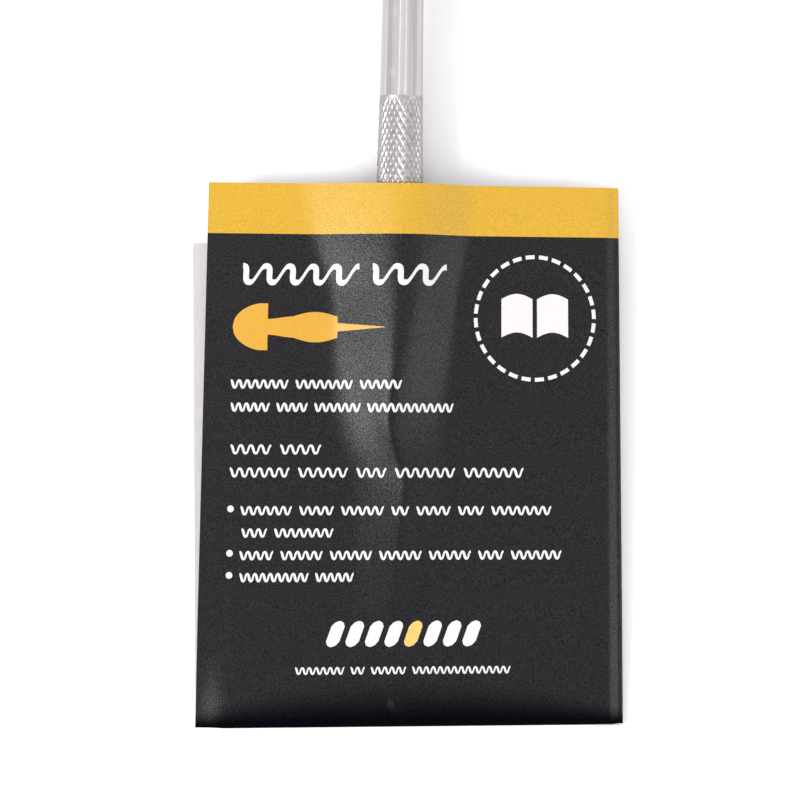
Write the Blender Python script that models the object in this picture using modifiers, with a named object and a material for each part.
"""Bookbinding awl lying in the folded card sleeve that it is sold and kept in.

Everything is placed round the awl's point. +Y runs along the awl to its head, +X across the
sleeve and +Z up. The sleeve lies on the surface z = 0. The awl's grip rests on the sleeve's back
panel and its head on the same surface, so its axis climbs from point to head by TILT.
The last step moves the whole model so that its box stands on the origin.
"""

import math

import bmesh
import bpy
from mathutils import Vector

MM = 0.001
GAP = 0.3 * MM

# Awl: distances are along the axis from the point, and radii from the axis.
TILT = math.radians(2.8)
NEEDLE_RADIUS = 1.0 * MM
NEEDLE_TAPER = 22 * MM
NEEDLE_TIP_RADIUS = 0.12 * MM
NOSE = 47 * MM
NOSE_RADIUS = 2.0 * MM
SHANK_DEPTH = 14 * MM
GRIP_START = 60 * MM
GRIP_START_RADIUS = 4.3 * MM
GRIP_WIDEST = 75 * MM
GRIP_RADIUS = 4.75 * MM
MOUTH_RADIUS = 4.45 * MM
GRIP_END = 117 * MM
GRIP_END_RADIUS = 4.12 * MM
NECK_END = 141 * MM
NECK_RADIUS = 3.9 * MM
SPIGOT_RADIUS = 2.5 * MM
SPIGOT_LENGTH = 9 * MM
CHAMFER = 0.5 * MM
COLLAR_RADIUS = 4.6 * MM
COLLAR_LENGTH = 2 * MM
RIM = 153 * MM
HEAD_RADIUS = 9.5 * MM
RIM_ROUND = 1.2 * MM
DOME_HEIGHT = 11 * MM
TIP_HEIGHT = HEAD_RADIUS * math.cos(TILT) - RIM * math.sin(TILT)

# Sleeve: one sheet of card, folded at its right edge and along its bottom.
CARD = 0.3 * MM
SLEEVE_WIDTH = 82.3 * MM
FRONT_HEIGHT = 103.75 * MM
BACK_HEIGHT = 94.1 * MM
TRIM = 0.0095
SKEW = math.radians(1.6)
DART = math.radians(2.12)
BACK_DART = math.radians(0.2)
BOTTOM_LEFT = Vector((-37.45 * MM, -5.82 * MM))
FOLD_RADIUS = 0.35 * MM
FLAP_DEPTH = 12 * MM
FLAP_HEIGHT = 1.2 * MM
FLAP_CHAMFER = 4 * MM
FLAP_ENDS = (0.05, 0.94)
BOTTOM_ROUND = 2.9 * MM
BOTTOM_HEIGHT = 1.75 * MM
SIDE_CURL = 2.5 * MM
SIDE_DROP = 1.0 * MM
CORNER_CURL = 6 * MM
CORNER_REACH = 20 * MM
BACK_RISE_BOTTOM = 12 * MM
BACK_RISE_TOP = 24 * MM
BACK_LIP = 0.4 * MM
LIP_START = 0.925
LIP_EASE = 0.015
GLUE_LENGTH = 60 * MM
GLUE_WIDTH = 6 * MM
GLUE_THICKNESS = 0.15 * MM

# How the front panel stands over the awl, each as (distance from the point, size) in millimetres:
# the flat part's height, the ridge above it, the ridge's radius and sideways shift, and how far
# each flank reaches. LEFT_SAG is a plain power: over 1, the left flank sags.
FLAT_HEIGHT = ((-6, 2.23), (14, 3.7), (40, 4.65), (100, 6.3))
RIDGE_HEIGHT = (
    (-6, 0), (0, 0.05), (12, 0.25), (20, 0.55), (34, 1.3),
    (45, 2.3), (54, 4.1), (62, 5.1), (75, 5.6), (100, 5.7),
)
RIDGE_RADIUS = ((-6, 4), (20, 1.2), (34, 0.9), (45, 1.2), (54, 2.2), (66, 4), (78, 8), (100, 13))
RIDGE_SHIFT = (
    (-6, -0.5), (20, 0), (34, 1.4), (43, 2), (48, 0.2), (54, -1), (64, -0.1), (78, 0.9), (100, 1.2),
)
LEFT_FLANK = (
    (-6, 8), (20, 7), (34, 9), (45, 11), (54, 11.5), (66, 12.3), (78, 13.2), (88, 17), (100, 20),
)
RIGHT_FLANK = (
    (-6, 6), (20, 5), (34, 6.5), (45, 8.5), (54, 10), (68, 10.4), (78, 10.4), (88, 12), (100, 13),
)
LEFT_SAG = ((-6, 1), (34, 1), (46, 1.6), (53, 1.8), (62, 1.35), (72, 1.05), (84, 1), (100, 1))
FOOT_SOFTNESS = 0.14

# Mesh density of the sleeve's sheet.
FRONT_COLUMNS = 30
BACK_COLUMNS = 8
SHARED_ROWS = 24
HEADER_ROWS = 3


# ---------------------------------------------------------------- scene helpers


def clear_scene():
    for obj in list(bpy.data.objects):
        bpy.data.objects.remove(obj, do_unlink=True)


def make_collection(name):
    collection = bpy.data.collections.new(name)
    bpy.context.scene.collection.children.link(collection)
    return collection


def make_material(name, colour, roughness, metallic):
    material = bpy.data.materials.new(name)
    material.use_nodes = True
    shader = material.node_tree.nodes["Principled BSDF"]
    shader.inputs["Base Color"].default_value = (*colour, 1)
    shader.inputs["Roughness"].default_value = roughness
    shader.inputs["Metallic"].default_value = metallic
    return material


def make_empty(name, collection, parent=None):
    empty = bpy.data.objects.new(name, None)
    collection.objects.link(empty)
    empty.parent = parent
    return empty


def add_object(name, bm, collection, material, parent):
    mesh = bpy.data.meshes.new(name)
    bm.to_mesh(mesh)
    bm.free()
    mesh.materials.append(material)
    obj = bpy.data.objects.new(name, mesh)
    collection.objects.link(obj)
    obj.parent = parent
    return obj


# ---------------------------------------------------------------- the awl


def add_turned(name, profile, sides, collection, material, parent):
    """Turns a profile of (radius, distance along the axis), given from the head end down."""
    bm = bmesh.new()
    points = [bm.verts.new((radius, 0, along)) for radius, along in profile]
    for start, end in zip(points, points[1:]):
        bm.edges.new((start, end))
    obj = add_object(name, bm, collection, material, parent)
    turn = obj.modifiers.new("Turn", "SCREW")
    turn.axis = "Z"
    turn.steps = sides
    turn.render_steps = sides
    turn.use_merge_vertices = True
    turn.merge_threshold = 1e-6
    turn.use_smooth_shade = True
    return obj


def arc(centre, radii, start, end, steps):
    """Points on a quarter ellipse, from angle start to angle end in degrees."""
    points = []
    for step in range(steps + 1):
        angle = math.radians(start + (end - start) * step / steps)
        points.append(
            (centre[0] + radii[0] * math.cos(angle), centre[1] + radii[1] * math.sin(angle))
        )
    return points


def build_head(collection, material, parent):
    """Domed palm head: a dome over a rounded rim, then a cove down to a collar with a blind bore."""
    dome = arc((0, RIM), (HEAD_RADIUS, DOME_HEIGHT), 90, 0, 9)
    dome[0] = (0, RIM + DOME_HEIGHT)
    rim = arc((HEAD_RADIUS - RIM_ROUND, RIM), (RIM_ROUND, RIM_ROUND), -30, -90, 3)
    collar_top = NECK_END + GAP + COLLAR_LENGTH
    cove_width = HEAD_RADIUS - RIM_ROUND - COLLAR_RADIUS
    cove_height = RIM - RIM_ROUND - collar_top
    cove = arc((COLLAR_RADIUS + cove_width, collar_top), (cove_width, cove_height), 90, 180, 6)
    bore_radius = SPIGOT_RADIUS + GAP
    bore_end = NECK_END + SPIGOT_LENGTH + GAP
    collar = [
        (COLLAR_RADIUS, NECK_END + GAP + CHAMFER),
        (COLLAR_RADIUS - CHAMFER, NECK_END + GAP),
        (bore_radius, NECK_END + GAP),
        (bore_radius, bore_end),
        (0, bore_end),
    ]
    profile = dome + rim + cove[1:] + collar
    return add_turned("palm_head", profile, 40, collection, material, parent)


def build_handle(collection, material, parent):
    """Spigot, smooth neck, grip and nose cone in one bar, with a blind bore for the needle."""
    bore_radius = NEEDLE_RADIUS + GAP
    bore_end = NOSE + SHANK_DEPTH + GAP
    profile = [
        (0, NECK_END + SPIGOT_LENGTH),
        (SPIGOT_RADIUS - CHAMFER, NECK_END + SPIGOT_LENGTH),
        (SPIGOT_RADIUS, NECK_END + SPIGOT_LENGTH - CHAMFER),
        (SPIGOT_RADIUS, NECK_END),
        (NECK_RADIUS, NECK_END),
        (GRIP_END_RADIUS, GRIP_END),
        (MOUTH_RADIUS, 100 * MM),
        (GRIP_RADIUS - 0.06 * MM, 86 * MM),
        (GRIP_RADIUS, GRIP_WIDEST),
        (GRIP_START_RADIUS, GRIP_START),
        (NOSE_RADIUS, NOSE + CHAMFER),
        (NOSE_RADIUS - CHAMFER, NOSE),
        (bore_radius, NOSE),
        (bore_radius, bore_end),
        (0, bore_end),
    ]
    return add_turned("handle", profile, 36, collection, material, parent)


def build_needle(collection, material, parent):
    """Round needle: a straight shank, then a long taper to a fine point."""
    shank_end = NOSE + SHANK_DEPTH
    profile = [
        (0, shank_end),
        (NEEDLE_RADIUS - 0.2 * MM, shank_end),
        (NEEDLE_RADIUS, shank_end - 0.2 * MM),
        (NEEDLE_RADIUS, NEEDLE_TAPER),
        (0.85 * NEEDLE_RADIUS, 0.7 * NEEDLE_TAPER),
        (0.55 * NEEDLE_RADIUS, 0.35 * NEEDLE_TAPER),
        (NEEDLE_TIP_RADIUS, 0.4 * MM),
        (0, 0),
    ]
    return add_turned("needle", profile, 20, collection, material, parent)


# ---------------------------------------------------------------- the sleeve


def ease(t):
    """Smooth step from 0 to 1."""
    t = min(max(t, 0.0), 1.0)
    return t * t * (3 - 2 * t)


def along(y, knots):
    """Smooth curve through knots of (distance, size) in millimetres, read at y in metres."""
    y = min(max(y / MM, knots[0][0]), knots[-1][0])
    right = next(index for index in range(1, len(knots)) if y <= knots[index][0])
    slopes = []
    for index in (right - 1, right):
        low = knots[max(index - 1, 0)]
        high = knots[min(index + 1, len(knots) - 1)]
        slopes.append((high[1] - low[1]) / (high[0] - low[0]))
    (y0, v0), (y1, v1) = knots[right - 1], knots[right]
    width = y1 - y0
    t = (y - y0) / width
    value = v0 + (v1 - v0) * t * t * (3 - 2 * t)
    value += width * t * (1 - t) * (slopes[0] * (1 - t) - slopes[1] * t)
    return value * MM


def ridge(x, y):
    """Height of the front panel's ridge over its flat part: a tent over the awl with a rounded
    crest and soft feet, whose left flank sags where its power is over 1."""
    height = along(y, RIDGE_HEIGHT)
    offset = x - along(y, RIDGE_SHIFT)
    foot = along(y, LEFT_FLANK if offset < 0 else RIGHT_FLANK)
    power = along(y, LEFT_SAG) / MM if offset < 0 else 1
    rounding = along(y, RIDGE_RADIUS) * height / foot**2
    run = (math.hypot(offset / foot, rounding) - rounding) / (math.hypot(1, rounding) - rounding)
    rest = 1 - run + math.hypot(1 - run, FOOT_SOFTNESS)
    return height * (rest / (1 + math.hypot(1, FOOT_SOFTNESS))) ** power


def direction(angle):
    """Unit step up the sleeve, leaning to the left by angle."""
    return Vector((-math.sin(angle), math.cos(angle)))


def bottom_point(across):
    """A point on the sleeve's bottom edge, for across from 0 at the left to 1 at the fold."""
    step = Vector((math.cos(SKEW), math.sin(SKEW)))
    return BOTTOM_LEFT + step * (SLEEVE_WIDTH - FOLD_RADIUS - CARD / 2) * across


def front_point(across, up):
    """A point on the front panel, up metres from its bottom edge. Its left edge swings in by
    DART, because the panel's width is taken up by the ridge, and its top is cut out of square
    with the bottom fold by TRIM, longer at the left."""
    lean = direction(SKEW) * across + direction(SKEW - DART) * (1 - across)
    x, y = bottom_point(across) + lean * up * (1 + TRIM * (1 - 2 * across))
    z = along(y, FLAT_HEIGHT) + ridge(x, y)
    side = (1 - across) * SLEEVE_WIDTH
    z -= SIDE_DROP * (1 - ease(side / SIDE_CURL))
    corner = ease((across * SLEEVE_WIDTH) / CORNER_CURL)
    z -= SIDE_DROP * (1 - corner) * (1 - ease(up / CORNER_REACH))
    if up < BOTTOM_ROUND:
        t = 1 - up / BOTTOM_ROUND
        z -= (z - BOTTOM_HEIGHT) * (1 - math.sqrt(1 - t * t))
    return Vector((x, y, z))


def fold_point(angle, up):
    """A point on the right-hand fold, at angle in degrees from the front (90) to the back (-90)."""
    edge = front_point(1, up)
    turn = math.radians(angle)
    edge.x += FOLD_RADIUS * math.cos(turn)
    edge.z += FOLD_RADIUS * (math.sin(turn) - 1)
    return edge


def back_point(across, up):
    """A point on the back panel, flat on the ground and curving up to meet the fold. Past the
    end of the flap it stands out below the front panel as a narrow lip."""
    lean = direction(SKEW) * across + direction(SKEW - BACK_DART) * (1 - across)
    lip = BACK_LIP * ease((across - LIP_START) / LIP_EASE) * (1 - ease(up / FLAP_DEPTH))
    x, y = bottom_point(across) + lean * (up * (1 - TRIM) - lip)
    fold_height = front_point(1, up).z - 2 * FOLD_RADIUS
    width = BACK_RISE_BOTTOM + (BACK_RISE_TOP - BACK_RISE_BOTTOM) * up / BACK_HEIGHT
    t = max(0.0, 1 - (1 - across) * SLEEVE_WIDTH / width)
    flat = CARD / 2
    return Vector((x, y, flat + (fold_height - flat) * t * t))


def flap_point(across, along_flap):
    """A point on the bottom flap, which turns in under the front panel. along_flap runs from -1
    at the bottom edge through 0, where the turn ends, to 1 at the flap's free edge."""
    low, high = FLAP_ENDS
    x, y = bottom_point(across)
    half = (BOTTOM_HEIGHT - FLAP_HEIGHT) / 2
    if along_flap < 0:
        turn = math.radians(90 * (1 + along_flap))
        return Vector((x, y + half * (1 - math.cos(turn)), BOTTOM_HEIGHT - 2 * half * math.sin(turn)))
    middle = (low + high) / 2
    squeeze = 1 - FLAP_CHAMFER * along_flap / ((high - low) / 2 * SLEEVE_WIDTH)
    foot = bottom_point(middle + (across - middle) * squeeze)
    step = foot + direction(SKEW) * (half + (FLAP_DEPTH - half) * along_flap)
    return Vector((step.x, step.y, FLAP_HEIGHT))


def spread(count, power=1.0):
    """count + 1 values from 0 to 1, closer together near 0 for a power over 1."""
    return [(index / count) ** power for index in range(count + 1)]


def build_sleeve(collection, material, parent):
    """The sheet's middle surface: front panel, fold, back panel and bottom flap, then its
    thickness as a Solidify."""
    bm = bmesh.new()
    shared = [BACK_HEIGHT * value for value in spread(SHARED_ROWS, 1.5)]
    header = [
        BACK_HEIGHT + (FRONT_HEIGHT - BACK_HEIGHT) * value for value in spread(HEADER_ROWS)[1:]
    ]
    columns = spread(FRONT_COLUMNS)[:-1]
    columns += [1 - SIDE_CURL * value / SLEEVE_WIDTH for value in (1, 0.6, 0.3, 0)]
    front = []
    for up in shared + header:
        row = [bm.verts.new(front_point(c, up)) for c in columns]
        row += [bm.verts.new(fold_point(angle, up)) for angle in (45, 0)]
        front.append(row)
    rest = []
    for up in shared:
        row = [bm.verts.new(fold_point(-45, up))]
        row += [bm.verts.new(back_point(1 - c, up)) for c in spread(BACK_COLUMNS, 1.5)]
        rest.append(row)
    for index, (low, high) in enumerate(zip(front, front[1:])):
        if index < len(shared) - 1:
            low = low + rest[index]
            high = high + rest[index + 1]
        add_strip(bm, low, high)
    inside = [i for i, c in enumerate(columns) if FLAP_ENDS[0] <= c <= FLAP_ENDS[1]]
    low = [front[0][i] for i in inside]
    for step in (-0.5, 0, 0.5, 1):
        high = [bm.verts.new(flap_point(columns[i], step)) for i in inside]
        add_strip(bm, high, low)
        low = high
    sleeve = add_object("card_sleeve", bm, collection, material, parent)
    shell = sleeve.modifiers.new("Thickness", "SOLIDIFY")
    shell.thickness = CARD
    shell.offset = 0
    shell.use_even_offset = True
    return sleeve


def add_strip(bm, low, high):
    """One row of faces between two rows of points."""
    for left in range(len(low) - 1):
        bm.faces.new((low[left], low[left + 1], high[left + 1], high[left]))


def build_glue(collection, material, parent):
    """The flattened bead of glue between the flap and the back panel."""
    bm = bmesh.new()
    bmesh.ops.create_cube(bm, size=1)
    bmesh.ops.scale(bm, vec=(GLUE_LENGTH, GLUE_WIDTH, GLUE_THICKNESS), verts=bm.verts)
    glue = add_object("flap_glue", bm, collection, material, parent)
    place = bottom_point(0.46) + direction(SKEW) * (FLAP_DEPTH / 2)
    glue.location = (place.x, place.y, CARD + GAP + GLUE_THICKNESS / 2)
    glue.rotation_euler.z = SKEW
    rounding = glue.modifiers.new("Rounding", "BEVEL")
    rounding.width = 0.05 * MM
    rounding.segments = 1
    return glue


# ---------------------------------------------------------------- assembly


def stand_on_origin(root, parts):
    """Moves root so that the parts' box has the middle of its bottom face at the origin."""
    bpy.context.view_layer.update()
    graph = bpy.context.evaluated_depsgraph_get()
    corners = []
    for part in parts:
        evaluated = part.evaluated_get(graph)
        corners += [evaluated.matrix_world @ vertex.co for vertex in evaluated.data.vertices]
    for axis in (0, 1):
        values = [corner[axis] for corner in corners]
        root.location[axis] = -(min(values) + max(values)) / 2


def build_awl_and_sleeve():
    clear_scene()
    collection = make_collection("bookbinding_awl")
    steel = make_material("turned_steel", (0.72, 0.70, 0.70), 0.30, 1)
    needle_steel = make_material("needle_steel", (0.66, 0.65, 0.66), 0.18, 1)
    card = make_material("printed_card", (0.03, 0.03, 0.035), 0.45, 0)
    glue = make_material("dried_glue", (0.75, 0.70, 0.55), 0.35, 0)
    root = make_empty("root", collection)
    sleeve_frame = make_empty("sleeve_frame", collection, root)
    awl_frame = make_empty("awl_frame", collection, root)
    awl_frame.location = (0, 0, TIP_HEIGHT)
    awl_frame.rotation_euler.x = TILT - math.pi / 2
    parts = [
        build_sleeve(collection, card, sleeve_frame),
        build_glue(collection, glue, sleeve_frame),
        build_handle(collection, steel, awl_frame),
        build_head(collection, steel, awl_frame),
        build_needle(collection, needle_steel, awl_frame),
    ]
    stand_on_origin(root, parts)


build_awl_and_sleeve()
